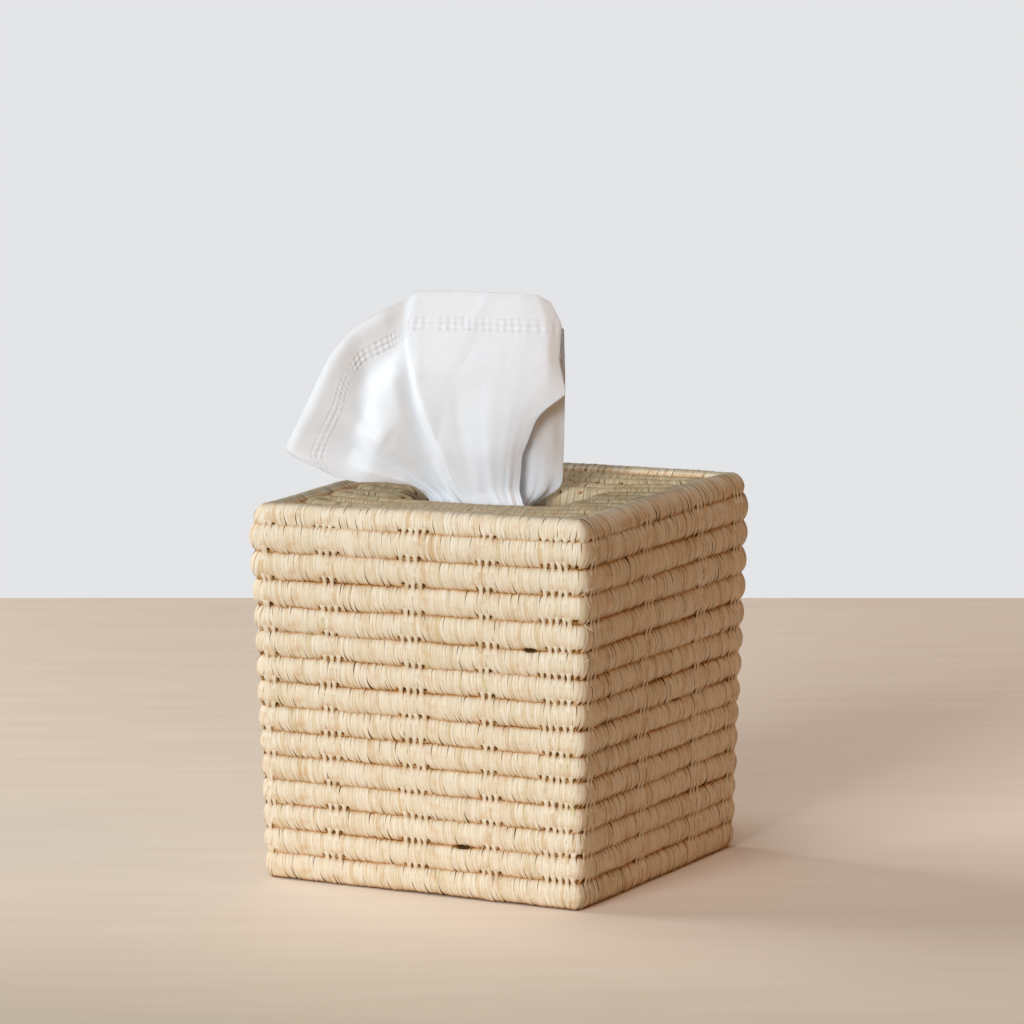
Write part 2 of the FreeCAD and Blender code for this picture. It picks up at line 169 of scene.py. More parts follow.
strawLook = {
    "pale": (229, 215, 191),
    "cream": (222, 205, 175),
    "tan": (209, 183, 142),
    "green": (209, 198, 158),
    "amber": (226, 176, 106),
    # deep is painted shade: in the seams' creases, in pits and on the core
    "deep": (50, 31, 14),
    # painted shade on the rim's upper side, greyer
    "topShade": (204, 209, 210),
    "surface": {"Roughness": 0.55, "Specular IOR Level": 0.3},
    "fineFibre": (3.4, 0.10, 1.0),  # noise cells per mm along the course and round it, share of the seed
    "broadStain": (0.12, 0.16, 0.0),
    "seamShadePatches": (0.22, 0.3, 0.0),
    "streaks": (0.42, 1.5),  # from this noise value on, and how strongly
    "stains": (0.5, 1.6),
    "seamLeast": 0.25,
    "edgeDark": 1.2,
    "edgeSharpness": 6.0,
    "edgeTint": 0.85,
    "fibreDepth": 0.22,  # mm
    "fibreStrength": 0.7,
}


# strand colours from the wrap's own attributes: strand = (tone, side, seam shade), fibre = (place, run,
# seed);
# the seam shade is painted shade in the creases between courses; a value below nothing stands for painted
# shade on the rim's upper side
def strawMaterial(name, look):
    n = Nodes(bpy.data.materials.new(name))
    tone, side, seamShade = n.split(n.own("strand"))
    edge = n.maths("POWER", n.maths("ABSOLUTE", side), look["edgeSharpness"])
    fibre = n.own("fibre")
    fine = n.noise(n.stretched(fibre, look["fineFibre"]), 1.0, 3.0, 0.6)
    broad = n.noise(n.stretched(fibre, look["broadStain"]), 1.0, 2.0)
    stops = [(0.0, "tan"), (0.3, "cream"), (0.6, "pale"), (0.8, "cream"), (1.0, "green")]
    base = n.ramp(tone, [(place, look[key]) for place, key in stops])
    streak = n.over(fine, *look["streaks"])
    lined = n.tinted(streak, base, look["tan"])
    stain = n.over(broad, *look["stains"])
    patchy = n.tinted(stain, lined, look["amber"])
    # painted shade between strands: their edges turn amber, and beside a gap dark
    edgeShare = n.maths("MULTIPLY", edge, look["edgeTint"], True)
    edged = n.tinted(edgeShare, patchy, look["amber"])
    # painted shade beside a seam: the straw grows amber there, in uneven patches
    uneven = n.maths("ADD", n.noise(n.stretched(fibre, look["seamShadePatches"]), 1.0, 3.0, 0.7), look["seamLeast"])
    seamShadeShare = n.maths("MULTIPLY", seamShade, uneven, True)
    seamShaded = n.tinted(seamShadeShare, edged, look["amber"])
    # painted shade: the straw turns deep brown in the seams' creases, in pits, on the core and at the darkest
    # strand edges
    dark = n.maths("SUBTRACT", seamShade, 1.0, True)
    dark = n.maths("ADD", dark, n.maths("SUBTRACT", edge, look["edgeDark"], True), True)
    # painted shade on the rim's upper side, where less light falls
    grey = n.maths("MULTIPLY", seamShade, -1.0, True)
    topShade = n.tinted(grey, seamShaded, look["topShade"])
    n.surface({"Base Color": n.blend(dark, topShade, linear(*look["deep"])), **look["surface"]})
    n.bump(fine, look["fibreStrength"], look["fibreDepth"])
    return n.owner


# the top rows' straw, darker than the sides' as painted shade on their upward faces
shadedTopStrawLook = {
    "pale": (192, 177, 145),
    "cream": (184, 165, 130),
    "tan": (172, 145, 108),
    "green": (168, 161, 127),
}
# the straw's colours darkened as painted shade, for a sheet seen through the gaps under the top rows
shadeLook = {"pale": (128, 104, 74), "cream": (112, 90, 62), "tan": (92, 72, 48), "green": (104, 92, 64)}
straw = strawMaterial("wrappedStraw", strawLook)
shadedTopStraw = strawMaterial("wrappedTopStrawShaded", strawLook | shadedTopStrawLook)
strawShade = strawMaterial("coilInsideShade", strawLook | shadeLook)
print("materials ready")


# the coil: a bundle that runs round each course, wrapped with flat strands

cover = {
    "bundle": 6.5,
    "courses": 15,
    "shoulder": 74.15,  # half width at the leaning line's top
    "lean": 3.6,
    "rimBundle": 5.7,
    "rimInset": 0.5,
    "rimStep": 7.5,  # from the highest full course's middle up to the rim's
    "rimSeam": 32,  # degrees below the rim's level where it meets that course
    "rimInnerSeam": 94,
    "rimTip": 35,  # the rim's face looks up this far
    # share of painted shade on the rim's upper side
    "rimTopShade": 0.9,
    "baseFlat": 0.8,
    "cornerTurn": 0.6,  # radius of the bundle's middle line at the upright corners
    "cornerSquare": 3.4,  # 2 would leave the corners round
    "bendShare": 0.8,
    "panelDrop": 2.5,
    "rows": 12,
    "openingLength": 68,
    "openingWidth": 40,
}
wrapLook = {
    "seed": 400,
    "strandWidth": 1.22,
    "overlap": 1.06,
    "toneSpread": 0.17,
    "swing": 0.12,
    "widthSpread": 0.45,
    "boxiness": 0.78,  # below 1 the bundle's face is flatter than a circle
    "lift": 0.06,  # how much strands stand over each other
    "crown": 0.10,
    "gapShare": 0.14,  # strands with a deeper gap beside them
    "gapDepth": 0.12,
    "fibreRidge": 0.02,
    "lean": 1.5,  # how far a strand drifts along the course from its top to its bottom
    "leanSpread": 0.24,
    "drift": (0.2, 0.8, 2.5),  # its even share, and the share and power of the part near the lower seam
    "swingTurns": 2.3,
    "edges": (0.8, 1.01),  # how dark the painted shade at a strand's edges may be, and how much more beside a gap
    "gapEdge": 0.06,
    "acrossPoints": 3,
    "seamUneven": 0.14,
    "core": 0.42,  # how far below the strands the bundle inside them lies
}
# painted shade between courses: how dark and warm the straw grows beside a seam: from where, in radians round
# the bundle, and how softly
seamLook = {
    "high": (0.22, 0.25),
    "low": (0.30, 0.33),
    "darkest": 1.6,
    "uneven": 0.5,
    "pit": 2.2,
    "core": 1.9,
    "topShade": (20, 38),  # degrees, painted shade on the rim's upper side: where it starts and over how many it grows
}
rimNumber = cover["courses"] - 1
pathTop = cover["shoulder"] - cover["bundle"]
rimPath = pathTop - cover["rimInset"]
panelReach = 66.5  # the rows share out the width between the rim's middle lines
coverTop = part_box("woven_cover")[1].z / mm
lowestCentre = cover["bundle"] - cover["baseFlat"]
highestCentre = coverTop - cover["bundle"]
rimLevel = coverTop - cover["rimBundle"]
pitch = (rimLevel - cover["rimStep"] - lowestCentre) / (rimNumber - 1)
seamAngle = math.radians(50)
# where a strand has its points round the bundle, closer at the seams
wrapAngles = np.radians([-60, -53, -47, -40, -30, -18, -6, 7, 19, 31, 40, 47, 53, 60, 110, 180, 250])
topAngles = np.radians(
    [-90, -75, -60, -52, -43, -32, -20, -7, 7, 20, 32, 43, 52, 60, 75, 90, 130, 180, 230]
)
rimAngles = np.radians(
    [-95, -84, -76, -70, -64, -57, -48, -34, -20, -6, 8, 22, 36, 50, 64, 80, 100, 160, 215]
)


# soft random wave along a closed or open length
def smoothNoise(rng, along, wavelength, size):
    total = float(along.max()) + wavelength
    knots = rng.normal(0, 1, int(total / wavelength) + 4)
    place = along / wavelength
    low = np.floor(place).astype(int)
    share = place - low
    share = share * share * (3 - 2 * share)
    return size * (knots[low] * (1 - share) + knots[low + 1] * share)


# one bundle: its middle line, its face's angle and where its neighbours' seams lie on it
def makeBundle(path, total, heightAt, facingUp=0.0, seams=None, size=cover["bundle"]):
    seams = seams or (lambda length: (-seamAngle, seamAngle))
    radius = size - wrapLook["lift"]
    shape = {"path": path, "total": total, "heightAt": heightAt, "radius": radius, "facingUp": facingUp}
    return SimpleNamespace(**shape, seams=seams, lowSeam=seamAngle, topShade=0.0)


# a point on a bundle; psi is the angle round it from the middle of its face, lift its height over it
def bundlePoint(bundle, length, psi, lift):
    x, y, facing = bundle.path(length)
    level, swell = bundle.heightAt(length)
    reach = bundle.radius * (1 + swell) + lift
    c = np.cos(psi)
    flat = np.where(c > 0, np.abs(c) ** wrapLook["boxiness"], c)
    face, side = reach * flat, reach * np.sin(psi)
    tip = bundle.facingUp
    out = face * math.cos(tip) - side * math.sin(tip)
    up = face * math.sin(tip) + side * math.cos(tip)
    return perPoint(x + out * np.cos(facing), y + out * np.sin(facing), level + up)


# closed square path round the cover, from the front side's left end
def squarePath(half, turn, reach):
    straight = 2 * (half - turn)
    bend = (turn + reach) * math.pi / 2
    side = straight + bend
    total = 4 * side

    def path(length):
        length = np.mod(length, total)
        quarter = np.floor(length / side)
        rest = length - quarter * side
        onBend = np.clip((rest - straight) / bend, 0, 1)
        ahead, aside = np.cos(onBend * math.pi / 2), np.sin(onBend * math.pi / 2)
        square = cover["cornerSquare"]
        extra = cover["bundle"] * ((ahead**square + aside**square) ** (-1 / square) - 1)
        run = np.clip(rest, 0, straight) - straight / 2
        facing = -math.pi / 2 + onBend * math.pi / 2
        x = np.where(onBend > 0, straight / 2 + (turn + extra) * np.cos(facing), run)
        y = np.where(onBend > 0, -straight / 2 + (turn + extra) * np.sin(facing), -half)
        c, s = np.cos(quarter * math.pi / 2), np.sin(quarter * math.pi / 2)
        return x * c - y * s, x * s + y * c, facing + quarter * math.pi / 2

    return total, path, lambda number, along: number * side + straight / 2 + along


# points, quads and attributes of the strands round one bundle
def wrapped(rng, bundle, angles, lean, fan=None, pits=(), tint=0.0):
    total = bundle.total
    count = int(round(total / wrapLook["strandWidth"]))
    widths = 1 + wrapLook["widthSpread"] * rng.uniform(-1, 1, count)
    widths *= total / widths.sum()
    middles, halves = np.cumsum(widths) - widths / 2, widths / 2
    across = np.linspace(-1, 1, wrapLook["acrossPoints"])
    wide, deep = len(across), len(angles)
    tilt = lean + wrapLook["leanSpread"] * rng.normal(0, 0.5, count)
    lift = wrapLook["lift"] * rng.uniform(-1, 1, count)
    tone = np.clip(rng.normal(0.5 + tint, wrapLook["toneSpread"], count), 0, 1)
    gap = rng.random(count) < wrapLook["gapShare"]
    ridges = rng.normal(0, wrapLook["fibreRidge"], (count, wide))
    ridges[:, 0] -= wrapLook["crown"]
    ridges[:, -1] -= wrapLook["crown"] + wrapLook["gapDepth"] * gap
    swing = rng.normal(0, wrapLook["swing"], (count, 1, 1))

    psi = angles[None, None, :]
    down = np.clip(0.5 - psi / (2 * seamAngle), 0, 1)  # 0 at the upper seam, 1 at the lower
    start = middles[:, None, None] + halves[:, None, None] * across[None, :, None] * wrapLook["overlap"]
    turned = fan(start) if fan else 1.0
    evenShare, lowShare, power = wrapLook["drift"]
    drift = tilt[:, None, None] * turned * (evenShare * down + lowShare * down**power)
    drift = drift + swing * np.sin(psi * wrapLook["swingTurns"])
    length = start + drift
    low, high = bundle.seams(length)
    nearSeam = np.clip(1 - np.minimum(high - psi, psi - low) / seamLook["uneven"], 0, 1)
    uneven = rng.normal(0, wrapLook["seamUneven"], (count, 1, 1)) * nearSeam
    relief = lift[:, None, None] + ridges[:, :, None] + uneven
    # painted shade: the straw darkens towards each seam where a neighbour lies beside it
    (highFrom, highSoft), (lowFrom, lowSoft) = seamLook["high"], seamLook["low"]
    seamShade = np.clip((psi - high + highFrom) / highSoft, 0, None) ** 2
    seamShade = seamShade + np.clip((low + lowFrom - psi) / lowSoft, 0, None) ** 2
    # painted shade on the rim's upper side, carried as seam shade below nothing
    topShadeFrom, topShadeOver = np.radians(seamLook["topShade"])
    topShade = bundle.topShade * np.clip((psi - topShadeFrom) / topShadeOver, 0, 1)
    seamShade = np.minimum(seamShade, seamLook["darkest"]) - topShade
    # painted shade: each pit is pressed in and its seam shade raised, so it shows dark
    for pitLength, pitAngle, sizeAlong, sizeRound, depth in pits:
        off = np.mod(length - pitLength + total / 2, total) - total / 2
        near = np.exp(-((off / sizeAlong) ** 2) - ((bundle.radius * (psi - pitAngle) / sizeRound) ** 2))
        relief = relief - depth * near
        seamShade = seamShade + seamLook["pit"] * near
    points = bundlePoint(bundle, length, psi, relief)

    edge = rng.uniform(*wrapLook["edges"], (count, 1, 1)) + wrapLook["gapEdge"] * gap[:, None, None]
    strand = perPoint(tone[:, None, None], across[None, :, None] * edge, seamShade)
    fibre = perPoint(length - drift, bundle.radius * psi, rng.uniform(0, 50, (count, 1, 1)))
    s, w, d = np.meshgrid(np.arange(count), np.arange(wide - 1), np.arange(deep), indexing="ij")
    after = (d + 1) % deep
    at = lambda column, turn: (s * wide + column) * deep + turn
    quads = np.stack([at(w, d), at(w + 1, d), at(w + 1, after), at(w, after)], axis=-1).reshape(-1, 4)
    return points, quads, strand, fibre


# the plain bundle under the strands, seen only through their gaps; its deep colour is painted shade
def coreOf(bundle):
    lengths = np.arange(0, bundle.total + 2.9, 3.0)[:, None]
    psi = np.radians(np.arange(0, 390, 30))[None, :]
    depth = wrapLook["core"] * np.where(np.cos(psi) > 0.45, 1, 3)
    points = bundlePoint(bundle, lengths, psi, -depth)
    strand = np.full(points.shape, [0.0, 0.0, seamLook["core"]])
    fibre = perPoint(lengths, bundle.radius * psi, 0.0)
    return points, gridQuads(*points.shape[:2]), strand, fibre


# parts with points, quads and further values per point as one
def joinParts(parts):
    pointLists, quadLists, *others = zip(*parts)
    points, *values = (np.concatenate([one.reshape(-1, 3) for one in many]) for many in (pointLists, *others))
    sizes = np.cumsum([0] + [one.size // 3 for one in pointLists])
    quads = np.concatenate([one + size for one, size in zip(quadLists, sizes)])
    return points, quads, *values


# a piece of the cover; nothing of it reaches below the table's level
def coverPiece(name, parts, material):
    points, quads, strand, fibre = joinParts(parts)
    points[:, 2] = np.maximum(points[:, 2], 0)
    ownPiece(makePiece(name, points, quads, material, strand=strand, fibre=fibre), "woven_cover")


# grid of quads over points in rows and columns
def gridQuads(rows, columns):
    r, c = np.meshgrid(np.arange(rows - 1), np.arange(columns - 1), indexing="ij")
    corner = r * columns + c
    return np.stack([corner, corner + 1, corner + columns + 1, corner + columns], axis=-1).reshape(-1, 4)


stitchLook = {
    "seed": 500,
    "placeSeed": 300,
    "pitch": 2.95,  # from one stitch to the next in a group
    "groupWander": 0.006,
    "wander": 0.15,
    "sizes": (0.86, 1.1),
    "tone": (0.5, 0.15),
    "sideMore": 4,  # groups share out a side that is this much longer at each end
    "cornerGap": 1.0,
    "slant": 0.35,
    "slantFrom": 49,  # degrees below the upper bundle's middle, and over how many it slants
    "slantOver": 26,
    "bridge": 0.9,  # how far it stands out of the seam's groove
    # rows of points: degrees round the bundle, lift and half width
    "lower": [(17, -0.25, 1.55), (24, 0.0, 1.48), (32, 0.10, 1.3), (41, 0.28, 1.08)],
    "middle": 0.86,
    "upper": [(-43, 0.36, 0.86), (-36, 0.24, 1.04), (-29, 0.08, 1.18), (-22, -0.25, 1.2)],
    "profile": [-0.40, -0.02, 0.06, -0.03, 0.05, -0.02, -0.40],
}


# one binding stitch: strands of the lower bundle carried over the seam onto the upper one
def stitch(rng, lower, upper, onLower, onUpper, slant):
    tip = upper.facingUp
    turn = seamAngle - upper.lowSeam - tip
    across = np.linspace(-1, 1, len(stitchLook["profile"]))
    profile = np.array(stitchLook["profile"])
    size = rng.uniform(*stitchLook["sizes"])
    rows = []
    for angle, lift, half in stitchLook["lower"]:
        place = onLower + across * half * size
        rows.append(bundlePoint(lower, place, math.radians(angle), lift + profile))
    half = stitchLook["middle"] * size
    below = lower, onLower + across * half, seamAngle
    above = upper, onUpper + across * half, turn - seamAngle
    low, high = bundlePoint(*below, profile), bundlePoint(*above, profile)
    outward = bundlePoint(*above, profile + 1) - high + bundlePoint(*below, profile + 1) - low
    outward /= np.linalg.norm(outward, axis=-1, keepdims=True)
    rows.append((low + high) / 2 + outward * stitchLook["bridge"])
    for angle, lift, half in stitchLook["upper"]:
        moved = slant * (angle + stitchLook["slantFrom"]) / stitchLook["slantOver"]
        place = onUpper + across * half * size + moved
        rows.append(bundlePoint(upper, place, math.radians(angle) + turn, lift + profile))
    # painted shade: the rows nearest the seam take a little of the seam's warm shade
    grooveShade = np.zeros((len(rows), 1))
    grooveShade[3:6] = 0.2
    strand = perPoint(np.clip(rng.normal(*stitchLook["tone"]), 0, 1), across * 0.99, grooveShade)
    fibre = perPoint(onLower + across * 1.5, np.linspace(0, 7, len(rows))[:, None], rng.uniform(0, 50))
    return np.array(rows), gridQuads(len(rows), len(across)), strand, fibre


# groups of stitches as a share of each side's length, with how many each has
stitchGroups = [
    [(0.035, 2, 3), (0.235, 2, 3), (0.49, 3, 4), (0.715, 2, 3), (0.925, 4, 5)],
    [(0.06, 2, 3), (0.38, 2, 3), (0.71, 2, 3), (0.95, 3, 4)],
    [(0.05, 2, 3), (0.28, 2, 3), (0.52, 3, 4), (0.74, 2, 3), (0.94, 3, 5)],
    [(0.06, 2, 3), (0.33, 2, 3), (0.62, 3, 4), (0.94, 3, 5)],
]
# open places between two courses, by the lower one's number: side, place and half length; they are pressed in
# and painted dark as shade
openSlits = {1: [(0, 18.5, 3.2), (2, -30, 2.6)], 9: [(0, 49, 3.2)], 6: [(1, 12, 2.4)], 4: [(3, -8, 2.8)]}
# pits beside the stitches, pressed in and painted dark as shade: angle and its spread, size along and round
# the bundle, depth
pitLook = {
    "angle": (-42, 1.5),
    "size": (0.6, 0.78),
    "depths": (0.9, 1.5),
    "cornerPast": (1.5, 3.5),
    "cornerAngle": (-42, 2),
    "corner": (0.6, 0.85, 1.3),
    "slitBelow": (0.55, 1.3),
    "slitAbove": (0.45, 1.2),
}


# handwork: how far the courses lie over their even places at each corner, from the front left one round;
# each row is for one height, as a share of the full courses, and the last for the rim
unevenLook = {
    "seed": 900,
    "longWave": (34, 0.24),  # wavelength and size
    "shortWave": (8, 0.07),
    "swellWave": (22, 0.02),
    "evenStart": 30,  # the waves grow over this length from where a course's ends meet
    "shares": [0, 0.5, 0.7, 0.77, 0.85, 0.92, 1],
    "corners": [
        [0, -2.3, -2.5, -2.7, -2.6, -2.1, -1.0],
        [0, -0.8, -0.5, 0.1, 0.9, 1.4, 2.0],
        [0, -1.6, -0.8, -0.3, 0.4, 1.2, 1.8],
        [0, -1.6, -1.4, -1.2, -1.0, -0.6, -0.2],
    ],
    "rim": [-1.2, 1.8, 2.6, -0.4],
    "outerRows": 1.3,  # over this much beyond the middle rows
    "outerFrom": 30,
    "outerOver": 26,
}


def cornerRises(number):
    if number == rimNumber:
        return unevenLook["rim"]
    share = number / (rimNumber - 1)
    return [float(np.interp(share, unevenLook["shares"], corner)) for corner in unevenLook["corners"]]


# a course swells where the places over and under it lie further apart
def cornerSwells(number):
    if number == rimNumber:
        return [0.0] * 4
    above, below = min(number + 1, rimNumber - 1), max(number - 1, 0)
    room = pitch * (above - below)
    return [(high - low) / room for high, low in zip(cornerRises(above), cornerRises(below))]


# the same over the top's middle, from the rim's four corners; the outer rows lie a little higher
def panelRise(x, y):
    across, back = np.clip(x / rimPath, -1, 1) / 2 + 0.5, np.clip(y / rimPath, -1, 1) / 2 + 0.5
    frontLeft, frontRight, backRight, backLeft = unevenLook["rim"]
    front = frontLeft * (1 - across) + frontRight * across
    tilt = front * (1 - back) + (backLeft * (1 - across) + backRight * across) * back
    off = np.maximum(np.abs(x), np.abs(y)) - unevenLook["outerFrom"]
    return tilt + unevenLook["outerRows"] * np.clip(off / unevenLook["outerOver"], 0, 1)


def courseLine(number):
    if number == rimNumber:
        return rimPath, rimLevel
    level = lowestCentre + pitch * number
    return pathTop - cover["lean"] * (highestCentre - level) / (highestCentre - lowestCentre), level


def courseBundle(number):
    half, level = courseLine(number)
    bend = cover["bendShare"] * cover["bundle"]
    total, path, lengthAt = squarePath(half, cover["cornerTurn"], bend)
    rng = draws(unevenLook["seed"] + number)
    ring = np.linspace(0, total, 500)
    fade = np.clip(np.minimum(ring, total - ring) / unevenLook["evenStart"], 0, 1)
    longWave, shortWave, swell = (
        smoothNoise(rng, ring, *unevenLook[key]) for key in ("longWave", "shortWave", "swellWave")
    )
    rise = (longWave + shortWave) * fade
    swell = swell * fade
    for wave, corners in ((rise, cornerRises(number)), (swell, cornerSwells(number))):
        wave += np.interp(ring / total, np.linspace(0, 1, 5), [*corners, corners[0]])

    def heightAt(length):
        place = np.mod(length, total)
        return level + np.interp(place, ring, rise), np.interp(place, ring, swell)

    if number == rimNumber:
        tip, low = math.radians(cover["rimTip"]), math.radians(cover["rimSeam"])
        seams = lambda length: (-low - tip, math.radians(cover["rimInnerSeam"]))
        bundle = makeBundle(path, total, heightAt, tip, seams, cover["rimBundle"])
        bundle.lowSeam, bundle.topShade = low, cover["rimTopShade"]
    else:
        bundle = makeBundle(path, total, heightAt)
    bundle.lengthAt = lengthAt
    return bundle


fanLook = {"before": (2.3, 11), "after": (0.7, 9)}  # how much the lean changes and over what length


# strands lean back just before each corner and more than usual just after it
def cornerFan(bundle):
    side = bundle.total / 4

    def fan(length):
        rest = np.mod(length, side)
        (less, near), (more, past) = fanLook["before"], fanLook["after"]
        return 1 - less * np.exp(-(((side - rest) / near) ** 2)) + more * np.exp(-((rest / past) ** 2))

    return fan


def seamStitches(number):
    rng = draws(stitchLook["placeSeed"] + number)
    found = []
    for side, groups in enumerate(stitchGroups):
        for share, fewest, most in groups:
            count = int(rng.integers(fewest, most + 1))
            share = share + rng.normal(0, stitchLook["groupWander"])
            middle = (share - 0.5) * 2 * (pathTop + stitchLook["sideMore"])
            offsets = (np.arange(count) - (count - 1) / 2) * stitchLook["pitch"]
            reach = pathTop - stitchLook["cornerGap"]
            places = middle + offsets + rng.normal(0, stitchLook["wander"], count)
            found.append((side, np.clip(places, -reach, reach)))
    return found


def buildCourses():
    bundles = [courseBundle(number) for number in range(cover["courses"])]
    pitsOf = [[] for _ in bundles]
    stitchesOf = [[] for _ in bundles]
    for number in range(rimNumber):
        rng = draws(stitchLook["seed"] + number)
        lower, upper = bundles[number], bundles[number + 1]
        turn = seamAngle - upper.lowSeam - upper.facingUp
        for side, places in seamStitches(number):
            for place in places:
                onLower, onUpper = lower.lengthAt(side, place), upper.lengthAt(side, place)
                slant = rng.normal(0, stitchLook["slant"])
                stitchesOf[number].append(stitch(rng, lower, upper, onLower, onUpper, slant))
            half = stitchLook["pitch"] / 2
            for place in [places[0] - half, *((places[1:] + places[:-1]) / 2), places[-1] + half]:
                depth = rng.uniform(*pitLook["depths"])
                angle = math.radians(rng.normal(*pitLook["angle"])) + turn
                pitsOf[number + 1].append((upper.lengthAt(side, place), angle, *pitLook["size"], depth))
        for side in range(4):
            place = upper.lengthAt(side, pathTop + rng.uniform(*pitLook["cornerPast"]))
            angle = math.radians(rng.normal(*pitLook["cornerAngle"])) + turn
            pitsOf[number + 1].append((place, angle, *pitLook["corner"]))
        for side, place, size in openSlits.get(number, []):
            onLower, onUpper = lower.lengthAt(side, place), upper.lengthAt(side, place)
            pitsOf[number].append((onLower, seamAngle, size, *pitLook["slitBelow"]))
            pitsOf[number + 1].append((onUpper, -seamAngle, size, *pitLook["slitAbove"]))
    for number, bundle in enumerate(bundles):
        rng = draws(wrapLook["seed"] + number)
        angles = rimAngles if bundle.facingUp else wrapAngles
        strands = wrapped(rng, bundle, angles, wrapLook["lean"], cornerFan(bundle), pitsOf[number])
        coverPiece(f"course_{number + 1:02d}", [strands, coreOf(bundle), *stitchesOf[number]], straw)


looseLook = {
    "seed": 77,
    "count": 9,
    "courses": (9, 13),
    "points": 9,
    "corner": 0.86,  # how far out on the bundle they start
    "startSpread": 5,
    "width": 0.22,
    "length": (3.0, 7.0),
    "standsOff": 0.8,
    "bow": (0.5, 1.3),
}


# short frayed ends of the leaf that stand off the front corner's edge
def looseFibres():
    rng = draws(looseLook["seed"])
    count = looseLook["points"]
    parts = []
    for _ in range(looseLook["count"]):
        number = int(rng.integers(*looseLook["courses"]))
        half, level = courseLine(number)
        corner = half + cover["bundle"] * looseLook["corner"]
        spread = looseLook["startSpread"]
        start = np.array([corner, -corner, level + rng.uniform(-spread, spread)])
        heading = np.array([rng.uniform(-0.2, 0.75), rng.uniform(-0.2, 0.2), rng.uniform(-1, 1)])
        heading /= np.linalg.norm(heading)
        length = rng.uniform(*looseLook["length"])
        share = np.linspace(0, 1, count)[:, None]
        bow = np.array([0.7, -0.7, 0]) * looseLook["standsOff"] * rng.uniform(*looseLook["bow"])
        line = start + heading * length * share + bow * np.sin(math.pi * (0.15 + 0.85 * share))
        across = np.array([heading[2] * 0.7, heading[2] * 0.7, -heading[0]]) * looseLook["width"] / 2
        points = np.stack([line - across, line + across], axis=1)
        strand = np.full(points.shape, [rng.uniform(0.3, 0.9), 0, 0])
        parts.append((points, gridQuads(count, 2), strand, points))
    coverPiece("loose_fibres", parts, straw)


buildCourses()
looseFibres()
print("courses wrapped")


# the top: rows of the same coil that turn back at the rim and at the opening

topLook = {
    "seeds": {"top_rows": 700, "top_rows_right": 720},
    "step": 0.5,  # between the middle line's points
    "turnAtRim": 55.5,  # middle of the turns beside the rim
    "turnAtOpening": 44.5,
    "looseEnd": 65,  # the coil's ends lie under the rim
    "lean": 2.4,
    "tint": 0.2,  # towards the greener end of the straw
    "wave": (26, 0.22),
    "freeSeam": 2.2,  # radians to where a side without a neighbour ends, and its painted seam shade starts
    "pitStep": 9.5,
    "pitWander": 4,
    "pitAngle": (-44, 2),
    "pit": (0.6, 0.9, 1.1),
    "shadeSheet": 62.0,
    "shadeSheetMargins": (3, 1.5),  # from the opening's edge
    "shadeSheetDepth": 1.0,
}
rowGap = 2 * panelReach / (cover["rows"] + 1)
rowLevel = highestCentre - cover["panelDrop"]
rowPlaces = [(number + 1) * rowGap - panelReach for number in range(cover["rows"])]


# middle line through straight rows joined by half turns: stops = [(x from, x to, row), ...]
def zigzag(stops):
    x, y, facing, side = [], [], [], []
    step = topLook["step"]
    for number, (start, end, row) in enumerate(stops):
        here = rowPlaces[row]
        heading = 0.0 if end > start else math.pi
        count = max(int(abs(end - start) / step), 2)
        along = np.linspace(start, end, count, endpoint=False)
        beside = abs(abs(here) - cover["openingWidth"] / 2 - rowGap / 2) < 1
        x.append(along)
        y.append(np.full(count, here))
        facing.append(np.full(count, heading - math.pi / 2))
        side.append(np.where(beside & (np.abs(along) < cover["openingLength"] / 2), -1, 0))
        if number < len(stops) - 1:
            after = rowPlaces[stops[number + 1][2]]
            spin = 1 if (after > here) == (heading == 0) else -1
            bend = abs(after - here) / 2
            share = np.linspace(0, 1, int(math.pi * bend / step), endpoint=False)
            turned = heading + spin * math.pi * share
            x.append(end + bend * np.sin(turned - heading) * math.cos(heading) * spin)
            y.append((after + here) / 2 + np.sign(here - after) * bend * np.cos(math.pi * share))
            facing.append(turned - math.pi / 2)
            side.append(np.full(len(share), -spin))
    x, y, facing, side = (np.concatenate(part) for part in (x, y, facing, side))
    facing = np.unwrap(facing)
    lengths = np.r_[0, np.cumsum(np.hypot(np.diff(x), np.diff(y)))]
    path = lambda length: tuple(np.interp(length, lengths, part) for part in (x, y, facing))
    openSide = lambda length: np.interp(length, lengths, side)
    return float(lengths[-1]), path, openSide


